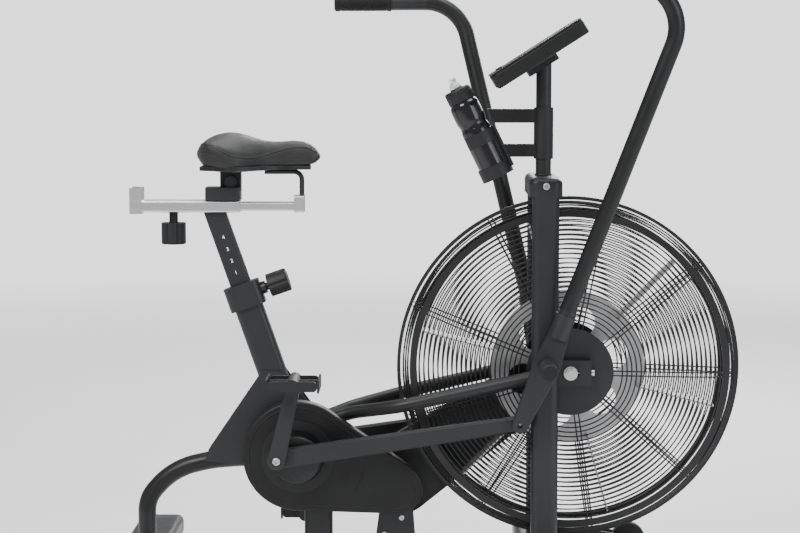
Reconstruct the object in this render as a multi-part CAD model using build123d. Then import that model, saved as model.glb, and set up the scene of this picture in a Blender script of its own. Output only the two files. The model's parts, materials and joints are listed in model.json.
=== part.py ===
from build123d import *
import math
import os

os.makedirs("parts", exist_ok=True)

# Air bike, millimetres. X points forward, Y to the rider's left, Z up from the floor.
# Everything is laid out from the crank axis at X = 0. The last step moves the whole machine so
# that the origin is the centre of its footprint, on the floor.

# ---- driving dimensions -------------------------------------------------------------------------
crank_height = 283.0
fan_x = 550.0
fan_height = 458.0
jackshaft_x = 201.0
jackshaft_height = 217.0
machine_width = 593.0

# clearances
turning_gap = 0.05          # radial, between a shaft and what turns on it
sliding_gap = 0.5           # each side, between sliding tubes
side_gap = 0.5              # between faces that pass each other
running_gap = 3.0           # between linkage parts side by side

# cage and fan
cage_radius = 350.0
cage_rim_wall = 7.0
cage_rim_half_width = 8.0
rim_to_inner_ring = 25.0
inner_ring_wall = 14.0
right_ring_y = -48.0
left_ring_y = 34.0
right_hub_y = -84.0
left_hub_y = 42.0
hub_cover_radius = 88.0
hub_cover_wall = 2.0
wire_diameter = 3.0
ring_pitch = 9.6
band_wires = 3
spoke_pairs = 9
spoke_pair_spacing = 9.0
spoke_phase = 78.0
weld_depth = 0.2
blade_count = 6
blade_phase = 45.6
blade_inner = 143.0
ring_to_blade = 19.0
blade_wall = 3.0
blade_right_y = -44.0
blade_left_y = 22.0
fan_hub_radius = 42.0
fan_axle_diameter = 15.0
fan_spline_radius = 12.0

inner_ring_radius = cage_radius - rim_to_inner_ring
blade_outer = inner_ring_radius - ring_to_blade

# frame tubes
post_x = 498.0
post_depth = 54.0
post_width = 34.0
post_inner = 88.0
yoke_depth = 66.0
yoke_height = 38.0
yoke_lift = 4.0
mast_diameter = 31.5
mast_top = 1078.0
tube_wall = 2.5
rail_diameter = 27.0
rail_knee = (207.0, 91.0, 388.0)
rail_front_height = 449.0
leg_diameter = 37.0
leg_route = ((-60.0, 271.0), (-180.0, 262.0), (-262.0, 243.0), (-318.0, 180.0), (-318.0, 86.0))
leg_bend_radii = (300.0, 150.0, 70.0)
stabilizer_depth = 96.0
stabilizer_height = 46.0
stabilizer_base = 38.0
rear_stabilizer_x = -324.0
end_cap_length = 46.0
pad_radius = 22.0
beam_width = 50.0
wheel_radius = 37.0
wheel_width = 26.0
wheel_height = 44.0
wheel_ahead = 202.0
wheel_gap = 1.5
shell_radius = 28.0
shell_half = 46.0
plate_wall = 3.0
crank_shaft_radius = 10.0
jack_shaft_radius = 8.0
bearing_width = 9.0
bearing_radius = 19.0
strut_x = 38.0
strut_depth = 58.0
strut_width = 38.0
axle_bracket_wall = 18.0
axle_bracket_height = 52.0
axle_bracket_front = 592.0

# seat
seat_lean = 19.3
seat_tube_depth = 58.0
seat_tube_width = 38.0
seat_tube_wall = 3.0
seat_tube_top = 322.0
sleeve_wall = 4.0
collar_height = 50.0
collar_depth = 74.0
collar_width = 52.0
post_top_along = 521.0
seat_post_length = 330.0
channel_length = 223.0
channel_front_x = -121.0
channel_height = 24.0
channel_width = 46.0
channel_wall = 3.0
channel_slot = 18.0
slide_height = 17.0
slide_front_x = -9.0
slide_rear_x = -300.0
saddle_length = 256.0
saddle_width = 205.0
saddle_rear_x = -208.0
saddle_top = 941.0
saddle_base = 868.0
shell_drop = 6.0
shell_wall = 8.0
shell_inset = 12.0
stay_diameter = 10.0
knob_pin_radius = 5.0
knob_along = 342.0
slide_knob_x = -257.0
slide_screw_radius = 5.0

# cranks, linkage and handles
crank_length = 170.0
eccentric_radius = 38.0
eccentric_start = 172.0     # degrees from forward, right pin at rest
rod_length = 490.0
lever_length = 131.0
lever_pivot_x = 499.6
lever_pivot_height = 481.0
lever_elbow = 3.4
handle_leg = 745.0
handle_socket = 107.0
handle_diameter = 33.0
handle_bend_radius = 91.0
handle_corner_angle = 103.2
handle_reach = 262.0
handle_top_y = 236.0
grip_wall = 2.5
grip_length = 118.0
eccentric_inner = 104.0
rod_inner = 126.0
rod_wall = 18.0
arm_wall = 16.0
peg_diameter = 33.0
peg_end = 262.0
pin_radius = 9.0
pivot_shaft_radius = 10.0
pedal_y = 215.0
spindle_radius = 6.0
pedal_inner = 170.0
pedal_half_length = 56.0

# chain drive
chain_pitch = 12.7
crank_teeth = 42
jack_small_teeth = 14
jack_large_teeth = 30
fan_teeth = 15
tooth_height = 3.0
sprocket_wall = 4.0
chain_width = 9.0
chain_wall = 7.0
chain_gap = 0.4
right_chain_y = -66.0
left_chain_y = 62.0
guard_wall = 2.5
guard_half_width = 14.0
guard_radius = 112.0
guard_front_radius = 52.0
left_guard_rear_radius = 80.0
left_guard_front_radius = 48.0

# console and bottle
console_length = 213.0
console_width = 190.0
console_wall = 33.0
console_tilt = 32.5
console_low_x = 396.0
console_low_height = 1040.0
button_radius = 7.0
button_travel = 1.5
bottle_diameter = 62.0
bottle_lean = 26.0
bottle_foot_x = 406.0
bottle_foot_height = 850.0
bottle_length = 168.0
holder_wall = 2.5

# ---- helpers ------------------------------------------------------------------------------------
RIGHT = -1
LEFT = 1


def polar(length, degrees):
    """Point at a distance and angle, forward is 0 and up is 90."""
    return length * math.cos(math.radians(degrees)), length * math.sin(math.radians(degrees))


def slab(outline, y_low, y_high):
    """Extrude an outline drawn in X and Z between two values of Y."""
    plane = Plane(origin=(0, y_high, 0), x_dir=(1, 0, 0), z_dir=(0, -1, 0))
    return extrude(plane * outline, y_high - y_low, dir=(0, -1, 0))


def side_slab(side, outline, inner, outer):
    """The same, between two distances from the centre plane, on one side."""
    low, high = sorted((side * inner, side * outer))
    return slab(outline, low, high)


def disc(x, z, radius, y_low, y_high):
    return slab(Pos(x, z) * Circle(radius), y_low, y_high)


def side_disc(side, x, z, radius, inner, outer):
    return side_slab(side, Pos(x, z) * Circle(radius), inner, outer)


def outline(*points):
    return Polygon(*points, align=None)


def bar(start, end, diameter):
    """Round bar between two points."""
    start, end = Vector(*start), Vector(*end)
    plane = Plane(origin=start, z_dir=end - start)
    return extrude(plane * Circle(diameter / 2), (end - start).length)


def tube(points, radii, diameter, wall=0.0):
    """Round tube along straight runs joined by tangent arcs."""
    path = FilletPolyline(*points, radius=radii) if radii else Polyline(*points)
    plane = Plane(origin=path @ 0, z_dir=path % 0)
    section = Circle(diameter / 2)
    if wall:
        section -= Circle(diameter / 2 - wall)
    return sweep(plane * section, path)


def belt_outline(first, second):
    """Outline wrapped round two circles, each given as x, z, radius."""
    circles = [Pos(x, z) * Circle(radius) for x, z, radius in (first, second)]
    return make_hull((circles[0] + circles[1]).edges())


def pitch_radius(teeth):
    return chain_pitch / (2 * math.sin(math.pi / teeth))


def box(x_low, x_high, y_low, y_high, z_low, z_high):
    centre = ((x_low + x_high) / 2, (y_low + y_high) / 2, (z_low + z_high) / 2)
    return Pos(*centre) * Box(x_high - x_low, y_high - y_low, z_high - z_low)


nodes = {}


def keep(name, *solids):
    """File one sub-part, as one solid or as a group of separate solids."""
    pieces = []
    for solid in solids:
        pieces.extend(solid.solids())
    nodes[name] = pieces[0] if len(pieces) == 1 else Compound(pieces)
    nodes[name].label = name


def rounded(length, width, radius):
    return RectangleRounded(length, width, radius)


# ---- frame --------------------------------------------------------------------------------------
post_top = fan_height + cage_radius + yoke_lift
yoke_top = post_top + yoke_height
stabilizer_top = stabilizer_base + stabilizer_height
cap_outer = machine_width / 2
tube_end = cap_outer - end_cap_length
beam_top = stabilizer_top - 4.0
beam_bottom = stabilizer_base + 6.0


def shell_solid():
    return disc(0, crank_height, shell_radius, -shell_half, shell_half)


def oval_column(x, depth, y_low, y_high, z_low, z_high, corner, wall=0.0):
    """Upright tube with a rounded rectangular section."""
    width = y_high - y_low
    section = rounded(depth, width, corner)
    if wall:
        section -= rounded(depth - 2 * wall, width - 2 * wall, corner - wall)
    return Pos(x, (y_low + y_high) / 2, z_low) * extrude(section, z_high - z_low)


def seat_plane(along=0.0, across=0.0):
    """Plane square to the seat tube, its local x pointing forward, at a distance from the crank."""
    lean = math.radians(seat_lean)
    origin = (-along * math.sin(lean) + across * math.cos(lean), 0,
              crank_height + along * math.cos(lean) + across * math.sin(lean))
    return Plane(origin=origin, x_dir=(math.cos(lean), 0, math.sin(lean)),
                 z_dir=(-math.sin(lean), 0, math.cos(lean)))


def seat_column(depth, width, corner, low, high):
    return extrude(seat_plane(low) * rounded(depth, width, corner), high - low)


def make_stabilizer(name, x, welded):
    """Cross tube with open ends, and the two caps that close them."""
    section = rounded(stabilizer_depth, stabilizer_height, 14)
    section -= rounded(stabilizer_depth - 2 * tube_wall, stabilizer_height - 2 * tube_wall, 11.5)
    middle = stabilizer_base + stabilizer_height / 2
    keep(name, slab(Pos(x, middle) * section, -tube_end, tube_end))
    caps = []
    for side in (RIGHT, LEFT):
        face = Pos(x, middle) * rounded(stabilizer_depth, stabilizer_height, 14)
        cap = side_slab(side, face, tube_end, cap_outer)
        end_edges = cap.faces().sort_by(Axis.Y)[0 if side == RIGHT else -1].edges()
        cap = fillet(end_edges, 12)
        plug = Pos(x, middle) * rounded(stabilizer_depth - 2 * tube_wall - 1,
                                        stabilizer_height - 2 * tube_wall - 1, 11)
        caps.append(cap + side_slab(side, plug, tube_end - 12, tube_end))
    keep("right_%s_cap" % welded, caps[0])
    keep("left_%s_cap" % welded, caps[1])


def make_feet():
    """Rubber pads under the four corners, screwed up into the stabilizers."""
    pads = []
    for x in (rear_stabilizer_x, post_x):
        for side in (RIGHT, LEFT):
            y = side * (tube_end - 30)
            pad = Pos(x, y) * extrude(Circle(pad_radius), 14)
            pad = chamfer(pad.faces().sort_by(Axis.Z)[0].edges(), 2)
            pads.append(pad + Pos(x, y, 14) * extrude(Circle(12), stabilizer_base - 14))
    keep("foot_pads", *pads)


def make_posts():
    for side, name in ((RIGHT, "right_front_post"), (LEFT, "left_front_post")):
        low, high = sorted((side * post_inner, side * (post_inner + post_width)))
        post = oval_column(post_x, post_depth, low, high, stabilizer_top, post_top, 15, tube_wall)
        bore = side_disc(side, lever_pivot_x, lever_pivot_height, pivot_shaft_radius + 2, 80, 130)
        keep(name, post - bore)
    width = 2 * (post_inner + post_width)
    yoke = Pos(post_x, 0, post_top) * extrude(rounded(yoke_depth, width, 17), yoke_height)
    yoke = fillet(yoke.faces().sort_by(Axis.Z)[-1].edges(), 12)
    socket = Pos(post_x, 0, post_top + 6) * extrude(Circle(mast_diameter / 2), yoke_height)
    keep("post_yoke", yoke - socket)
    mast = Circle(mast_diameter / 2) - Circle(mast_diameter / 2 - tube_wall)
    keep("console_mast", Pos(post_x, 0, post_top + 6) * extrude(mast, mast_top - post_top - 6))


def make_rails():
    """Side tubes from the seat tube to the front posts, passing outside the cage."""
    for side, name in ((RIGHT, "right_side_rail"), (LEFT, "left_side_rail")):
        front = (post_x - post_depth / 2, side * 105, rail_front_height)
        route = [(26, side * 24, 338), (110, side * 42, 368)]
        route += [(rail_knee[0], side * rail_knee[1], rail_knee[2]), front]
        rail = tube(route, [120, 120], rail_diameter)
        rail -= gusset_envelope()
        rail -= box(front[0], front[0] + 60, -150, 150, 300, 500)
        keep(name, rail.solids().sort_by(SortBy.VOLUME)[-1])


def gusset_outline():
    return outline((-76, 450), (-29, 450), (66, 318), (66, 262), (-60, 250), (-196, 262), (-187, 287))


def gusset_envelope():
    half = seat_tube_width / 2 + plate_wall
    return slab(gusset_outline(), -half, half)


def make_gusset():
    """Folded sheet that boxes in the foot of the seat tube, open to the front."""
    half = seat_tube_width / 2
    inner = outline((-71, 452), (-29, 452), (70, 318), (70, 255), (-60, 245), (-190, 255), (-182, 287))
    sheet = gusset_envelope() - slab(inner, -half, half)
    seat = seat_column(seat_tube_depth, seat_tube_width, 12, 0, seat_tube_top)
    leg = tube([(x, 0, z) for x, z in leg_route], list(leg_bend_radii), leg_diameter)
    keep("frame_gusset", sheet - seat - shell_solid() - leg)


def make_seat_tube():
    outer = seat_column(seat_tube_depth, seat_tube_width, 12, 20, seat_tube_top)
    bore_depth = seat_tube_depth - 2 * seat_tube_wall
    bore_width = seat_tube_width - 2 * seat_tube_wall
    bore = seat_column(bore_depth, bore_width, 9, 0, seat_tube_top)
    keep("seat_tube", outer - bore - shell_solid())
    low, high = seat_tube_top - 8, seat_tube_top - 8 + collar_height
    collar = seat_column(collar_depth, collar_width, 14, low, high)
    bore_block = outer + seat_column(bore_depth, bore_width, 9, low, high)
    boss_plane = knob_plane(collar_depth / 2 - 4)
    boss = extrude(boss_plane * Circle(13), 14)
    bore_across = extrude(knob_plane(0) * Circle(knob_pin_radius + turning_gap), 80)
    keep("seat_tube_collar", collar + boss - bore_across - bore_block)
    sleeve = seat_column(bore_depth, bore_width, 9, high - 120, high)
    sleeve -= seat_column(bore_depth - 2 * sleeve_wall, bore_width - 2 * sleeve_wall, 6,
                          high - 120, high)
    keep("seat_post_sleeve", sleeve - extrude(knob_plane(0) * Circle(knob_pin_radius + 0.5), 80))


def knob_plane(across):
    """Plane whose normal points forward, square to the seat tube, at the height of the knob."""
    seat = seat_plane(knob_along, across)
    return Plane(origin=seat.origin, x_dir=(0, 1, 0), z_dir=seat.x_dir)


def make_rear_leg():
    points = [(x, 0, z) for x, z in leg_route]
    leg = tube(points, list(leg_bend_radii), leg_diameter)
    leg -= shell_solid() + seat_column(seat_tube_depth, seat_tube_width, 12, 0, seat_tube_top)
    leg -= box(-400, -200, -60, 60, 0, stabilizer_top)
    keep("rear_leg", leg.solids().sort_by(SortBy.VOLUME)[-1])


def make_lower_frame():
    shell = shell_solid()
    bore = disc(0, crank_height, crank_shaft_radius + 2, -shell_half, shell_half)
    seats = disc(0, crank_height, bearing_radius, -shell_half, -shell_half + bearing_width)
    seats += disc(0, crank_height, bearing_radius, shell_half - bearing_width, shell_half)
    keep("bottom_bracket_shell", shell - bore - seats)
    half = strut_width / 2
    strut = oval_column(strut_x, strut_depth, -half, half, beam_top, crank_height + 10, 12, tube_wall)
    strut -= shell
    strut -= seat_column(seat_tube_depth, seat_tube_width, 12, 0, seat_tube_top)
    keep("center_strut", strut.solids().sort_by(SortBy.VOLUME)[-1])
    beam_length = post_x - stabilizer_depth / 2 - (strut_x - strut_depth / 2)
    beam_x = strut_x - strut_depth / 2 + beam_length / 2
    beam = rounded(beam_width, beam_top - beam_bottom, 8)
    beam -= rounded(beam_width - 2 * tube_wall, beam_top - beam_bottom - 2 * tube_wall, 5.5)
    plane = Plane(origin=(beam_x - beam_length / 2, 0, (beam_top + beam_bottom) / 2),
                  x_dir=(0, 1, 0), z_dir=(1, 0, 0))
    keep("base_beam", extrude(plane * beam, beam_length))


def jack_plate_outline():
    return outline((jackshaft_x - 52, beam_bottom + 4), (jackshaft_x + 40, beam_bottom + 4),
                   (jackshaft_x + 26, jackshaft_height + 26), (jackshaft_x - 26, jackshaft_height + 26))


def make_jack_brackets():
    """Upright plates on the base beam that carry the jackshaft bearings."""
    plates = []
    for side in (RIGHT, LEFT):
        plate = side_slab(side, jack_plate_outline(), beam_width / 2, beam_width / 2 + 5)
        housing = side_disc(side, jackshaft_x, jackshaft_height, bearing_radius + 4,
                            beam_width / 2 + 5 - bearing_width, beam_width / 2 + 5)
        bore = side_disc(side, jackshaft_x, jackshaft_height, bearing_radius, 0, 60)
        plates.append(plate + housing - bore)
    keep("right_jackshaft_bracket", plates[0])
    keep("left_jackshaft_bracket", plates[1])


def ring_bearing(side, x, z, shaft, outer, inner_y, outer_y):
    part = side_disc(side, x, z, outer, inner_y, outer_y)
    return part - side_disc(side, x, z, shaft + turning_gap, inner_y, outer_y)


def make_bearings():
    pieces = []
    for side in (RIGHT, LEFT):
        pieces.append(ring_bearing(side, 0, crank_height, crank_shaft_radius, bearing_radius,
                                   shell_half - bearing_width, shell_half))
        pieces.append(ring_bearing(side, jackshaft_x, jackshaft_height, jack_shaft_radius,
                                   bearing_radius, beam_width / 2 + 5 - bearing_width,
                                   beam_width / 2 + 5))
    keep("shaft_bearings", *pieces)


# ---- fan cage -----------------------------------------------------------------------------------
ring_mid_radius = inner_ring_radius - inner_ring_wall / 2


def dome_y(radius, side):
    """Height of the domed grille at a radius, from the hub cover out to the inner ring."""
    hub_y, ring_y = (right_hub_y + 2, right_ring_y) if side == RIGHT else (left_hub_y - 2, left_ring_y)
    low, high = hub_cover_radius ** 2, ring_mid_radius ** 2
    return hub_y + (ring_y - hub_y) * (radius ** 2 - low) / (high - low)


def wire_ring(radius, y):
    """Ring of square wire, centred on a radius and a height."""
    half = wire_diameter / 2
    face = Circle(radius + half) - Circle(radius - half)
    return slab(Pos(fan_x, fan_height) * face, y - half, y + half)


def fan_point(radius, degrees, y, offset=0.0):
    x, z = polar(radius, degrees)
    dx, dz = polar(offset, degrees + 90)
    return fan_x + x + dx, y, fan_height + z + dz


def square_bar(start, end, across):
    start, end = Vector(*start), Vector(*end)
    plane = Plane(origin=start, x_dir=across, z_dir=end - start)
    return extrude(plane * Rectangle(wire_diameter, wire_diameter), (end - start).length)


def spoke(side, degrees, offset):
    """Radial wire that follows the inside of the dome, then the band out to the rim."""
    inset = side * (wire_diameter - weld_depth)
    radii = (hub_cover_radius - 6, 200, ring_mid_radius - 2)
    points = [fan_point(r, degrees, dome_y(r, side) - inset, offset) for r in radii]
    arc = ThreePointArc(*points)
    across = Vector(*fan_point(0, degrees, 0, 1)) - Vector(*fan_point(0, degrees, 0))
    plane = Plane(origin=arc @ 0, x_dir=across, z_dir=arc % 0)
    section = plane * Rectangle(wire_diameter, wire_diameter)
    ring_y = right_ring_y if side == RIGHT else left_ring_y
    band = square_bar(fan_point(inner_ring_radius - 4, degrees, ring_y - inset, offset),
                      fan_point(cage_radius - cage_rim_wall + 1, degrees, side * 2.0, offset), across)
    rim_bore = disc(fan_x, fan_height, cage_radius - cage_rim_wall, right_ring_y, left_ring_y)
    return sweep(section, arc), band & rim_bore


def make_grille(side, name):
    ring_y = right_ring_y if side == RIGHT else left_ring_y
    low, high = sorted((ring_y, ring_y - side * 3.0))
    ring = disc(fan_x, fan_height, inner_ring_radius, low, high)
    ring -= disc(fan_x, fan_height, inner_ring_radius - inner_ring_wall, low, high)
    pieces = [ring]
    count = int((inner_ring_radius - inner_ring_wall - 3 - hub_cover_radius) / ring_pitch)
    for index in range(count):
        radius = inner_ring_radius - inner_ring_wall - 5 - index * ring_pitch
        pieces.append(wire_ring(radius, dome_y(radius, side)))
    band_width = cage_radius - cage_rim_wall - inner_ring_radius
    for index in range(1, band_wires + 1):
        share = index / (band_wires + 1)
        y = ring_y + (side * 6.0 - ring_y) * share
        pieces.append(wire_ring(inner_ring_radius + band_width * share, y + side * 2.4))
    for index in range(spoke_pairs):
        degrees = spoke_phase + index * 360 / spoke_pairs
        for offset in (-spoke_pair_spacing / 2, spoke_pair_spacing / 2):
            pieces.extend(spoke(side, degrees, offset))
    keep(name, *pieces)


def make_cage():
    rim = disc(fan_x, fan_height, cage_radius, -cage_rim_half_width, cage_rim_half_width)
    rim -= disc(fan_x, fan_height, cage_radius - cage_rim_wall, -cage_rim_half_width,
                cage_rim_half_width)
    keep("cage_rim", rim)
    make_grille(RIGHT, "right_cage_grille")
    make_grille(LEFT, "left_cage_grille")
    for side, name, y in ((RIGHT, "right_hub_cover", right_hub_y), (LEFT, "left_hub_cover", left_hub_y)):
        cover = side_disc(side, fan_x, fan_height, hub_cover_radius, abs(y) - hub_cover_wall, abs(y))
        dish = side_disc(side, fan_x, fan_height, 30, abs(y) - 6, abs(y) - hub_cover_wall)
        bore_radius = fan_axle_diameter / 2 if side == RIGHT else fan_spline_radius + 2
        keep(name, cover + dish - side_disc(side, fan_x, fan_height, bore_radius, 0, 120))


def make_axle_parts():
    """Boxed brackets on the posts, the fixed axle between them, and its nuts."""
    for side, name in ((RIGHT, "right_axle_bracket"), (LEFT, "left_axle_bracket")):
        low = post_x + post_depth / 2
        face = Pos((low + axle_bracket_front) / 2, fan_height) * \
            rounded(axle_bracket_front - low, axle_bracket_height, 3)
        block = side_slab(side, face, post_inner, post_inner + axle_bracket_wall)
        slot = Pos(fan_x + 3, fan_height) * SlotOverall(fan_axle_diameter + 16, fan_axle_diameter)
        block -= side_slab(side, slot, post_inner, post_inner + axle_bracket_wall)
        across = side * (post_inner + axle_bracket_wall / 2)
        hole = bar((axle_bracket_front - 30, across, fan_height),
                   (axle_bracket_front, across, fan_height), 6)
        keep(name, block - hole)
    ends = post_inner + axle_bracket_wall + 12
    keep("fan_axle", disc(fan_x, fan_height, fan_axle_diameter / 2, -ends, ends))
    nuts = []
    for side in (RIGHT, LEFT):
        inner = post_inner + axle_bracket_wall
        nut = side_slab(side, Pos(fan_x, fan_height) * RegularPolygon(12, 6), inner, inner + 9)
        nut += side_disc(side, fan_x, fan_height, 14, inner, inner + 1.5)
        nuts.append(nut - disc(fan_x, fan_height, fan_axle_diameter / 2, -200, 200))
        across = side * (post_inner + axle_bracket_wall / 2)
        shank = bar((axle_bracket_front - 29, across, fan_height),
                    (axle_bracket_front + 4, across, fan_height), 6)
        head = bar((axle_bracket_front, across, fan_height),
                   (axle_bracket_front + 6, across, fan_height), 13)
        nuts.append(shank + head)
    keep("axle_nuts", *nuts)


# ---- fan ----------------------------------------------------------------------------------------
def make_fan():
    bore = disc(fan_x, fan_height, fan_axle_diameter / 2 + turning_gap, -200, 200)
    barrel_end = left_hub_y - 7
    hub = disc(fan_x, fan_height, 24, blade_right_y - 10, barrel_end)
    hub += disc(fan_x, fan_height, fan_hub_radius, -6, 8)
    spline = disc(fan_x, fan_height, fan_spline_radius, barrel_end, left_chain_y + sprocket_wall / 2)
    keep("fan_hub", hub + spline - bore)
    spider = disc(fan_x, fan_height, blade_inner + 14, -9, -6)
    spider -= disc(fan_x, fan_height, 24, -9, -6)
    for index in range(blade_count):
        degrees = blade_phase + (index + 0.5) * 360 / blade_count
        x, _, z = fan_point(blade_inner * 0.66, degrees, 0)
        spider -= disc(x, z, 32, -9, -6)
    keep("fan_spider", spider)
    blades = []
    for index in range(blade_count):
        turn = blade_phase + index * 360 / blade_count
        blade = box(blade_inner, blade_outer, blade_right_y, blade_left_y,
                    -blade_wall / 2, blade_wall / 2)
        blade = fillet(blade.edges().filter_by(Axis.Z), 8)
        blade += box(blade_inner - 20, blade_inner + 12, -6, blade_wall - 6, -16, 16)
        blades.append(Pos(fan_x, 0, fan_height) * Rot(0, -turn, 0) * blade - spider)
    keep("fan_blades", *blades)


# ---- chain drive --------------------------------------------------------------------------------
def sprocket(x, z, teeth, y_middle, bore):
    """Toothed wheel. Teeth are cut as rounded gaps on the pitch circle."""
    radius = pitch_radius(teeth)
    low, high = y_middle - sprocket_wall / 2, y_middle + sprocket_wall / 2
    wheel = disc(x, z, radius + tooth_height, low, high)
    gaps = []
    for index in range(teeth):
        dx, dz = polar(radius + tooth_height, index * 360 / teeth)
        gaps.append(Pos(x + dx, z + dz) * Circle(3.6))
    wheel -= slab(Sketch() + gaps, low, high)
    return wheel - disc(x, z, bore, low, high)


def chain(first, second, y_middle):
    """Closed band just outside the teeth of two wheels."""
    half = chain_width / 2
    inner = belt_outline(*[(x, z, pitch_radius(teeth) + tooth_height + chain_gap)
                           for x, z, teeth in (first, second)])
    outer = belt_outline(*[(x, z, pitch_radius(teeth) + tooth_height + chain_gap + chain_wall)
                           for x, z, teeth in (first, second)])
    return slab(outer - inner, y_middle - half, y_middle + half)


crank_wheel = (0.0, crank_height, crank_teeth)
jack_small = (jackshaft_x, jackshaft_height, jack_small_teeth)
jack_large = (jackshaft_x, jackshaft_height, jack_large_teeth)
fan_wheel = (fan_x, fan_height, fan_teeth)


def make_drive():
    keep("crank_sprocket", sprocket(*crank_wheel, right_chain_y, crank_shaft_radius))
    keep("jackshaft_small_sprocket", sprocket(*jack_small, right_chain_y, jack_shaft_radius))
    keep("jackshaft_large_sprocket", sprocket(*jack_large, left_chain_y, jack_shaft_radius))
    keep("fan_sprocket", sprocket(*fan_wheel, left_chain_y, fan_spline_radius))
    keep("jackshaft", disc(jackshaft_x, jackshaft_height, jack_shaft_radius,
                           right_chain_y - 5, left_chain_y + 5))
    keep("right_chain", chain(crank_wheel, jack_small, right_chain_y))
    keep("left_chain", chain(jack_large, fan_wheel, left_chain_y))


def guard(side, y_middle, first, second, holes):
    """Hollow two-sided cover round a chain, with shaft holes."""
    low, high = abs(y_middle) - guard_half_width, abs(y_middle) + guard_half_width
    shell = side_slab(side, belt_outline(first, second), low, high)
    outer = shell.faces().sort_by(Axis.Y)[0 if side == RIGHT else -1]
    shell = fillet(outer.edges(), 5)
    inside = [(x, z, radius - guard_wall) for x, z, radius in (first, second)]
    shell -= side_slab(side, belt_outline(*inside), low + guard_wall, high - guard_wall)
    for x, z, radius, start, end in holes:
        shell -= side_disc(side, x, z, radius, start, end)
    return shell


def make_guards():
    right = guard(RIGHT, right_chain_y, (0, crank_height, guard_radius),
                  (jackshaft_x, jackshaft_height, guard_front_radius),
                  ((0, crank_height, crank_shaft_radius + 3, 0, 200),
                   (jackshaft_x, jackshaft_height, jack_shaft_radius + 2, 0, -right_chain_y)))
    face = -right_chain_y + guard_half_width
    ring = side_disc(RIGHT, 0, crank_height, 74, face - 0.3, face + 2.5)
    ring -= side_disc(RIGHT, 0, crank_height, 54, face - 0.3, face + 2.5)
    keep("right_chain_guard", right + ring)
    left = guard(LEFT, left_chain_y, (jackshaft_x, jackshaft_height, left_guard_rear_radius),
                 (fan_x, fan_height, left_guard_front_radius),
                 ((jackshaft_x, jackshaft_height, jack_shaft_radius + 2, 0, left_chain_y),
                  (fan_x, fan_height, 14, 0, left_chain_y),
                  (fan_x, fan_height, fan_axle_diameter / 2 + 1, 0, 200)))
    keep("left_chain_guard", left)


# ---- cranks and linkage -------------------------------------------------------------------------
def crank_pin(side):
    """Centre of the eccentric pin. The left one is half a turn from the right one."""
    x, z = polar(eccentric_radius, eccentric_start + (180 if side == LEFT else 0))
    return x, crank_height + z


def pedal_centre(side):
    return 0.0, crank_height + (crank_length if side == RIGHT else -crank_length)


def lever_lean(side):
    """Degrees that the lower lever points rearwards of straight down, from the four-bar closure."""
    x, z = crank_pin(side)
    dx, dz = lever_pivot_x - x, lever_pivot_height - z
    span = math.hypot(dx, dz)
    cosine = (lever_length ** 2 + span ** 2 - rod_length ** 2) / (2 * lever_length * span)
    return 90 - math.degrees(math.atan2(dz, dx)) - math.degrees(math.acos(cosine))


def lever_foot(side):
    lean = math.radians(lever_lean(side))
    return (lever_pivot_x - lever_length * math.sin(lean),
            lever_pivot_height - lever_length * math.cos(lean))


def handle_lean(side):
    """Degrees that the handle leans forward."""
    return lever_lean(side) - lever_elbow


def handle_point(side, along, forward=0.0):
    lean = math.radians(handle_lean(side))
    x = lever_pivot_x + along * math.sin(lean) + forward * math.cos(lean)
    return x, lever_pivot_height + along * math.cos(lean) - forward * math.sin(lean)


rod_outer = rod_inner + rod_wall
arm_inner = rod_outer + running_gap
arm_outer = arm_inner + arm_wall
eccentric_outer = rod_inner - running_gap - 1


def make_crank():
    end = eccentric_outer - 4
    keep("crank_axle", disc(0, crank_height, crank_shaft_radius, -end, end))
    for side, word in ((RIGHT, "right"), (LEFT, "left")):
        x, z = crank_pin(side)
        plate = side_disc(side, 0, crank_height, 47, eccentric_inner, eccentric_outer)
        plate = chamfer(plate.edges().filter_by(GeomType.CIRCLE), 1.5)
        boss = side_disc(side, 0, crank_height, 17, -right_chain_y + guard_half_width + 4,
                         eccentric_inner)
        pin = side_disc(side, x, z, pin_radius, eccentric_outer, arm_outer - 2)
        plate = plate + boss + pin
        keep(word + "_eccentric", plate - disc(0, crank_height, crank_shaft_radius, -end, end))
        px, pz = pedal_centre(side)
        arm = side_slab(side, belt_outline((x, z, 18), (px, pz, 13)), arm_inner, arm_outer)
        outer_face = arm.faces().sort_by(Axis.Y)[0 if side == RIGHT else -1]
        arm = chamfer(outer_face.edges(), 2)
        arm -= side_disc(side, x, z, pin_radius, 0, arm_outer - 2)
        arm -= side_disc(side, px, pz, spindle_radius, arm_inner + 3, arm_outer)
        keep(word + "_crank_arm", arm)
    make_pedals()


pedal_outer = 2 * pedal_y - pedal_inner


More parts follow.
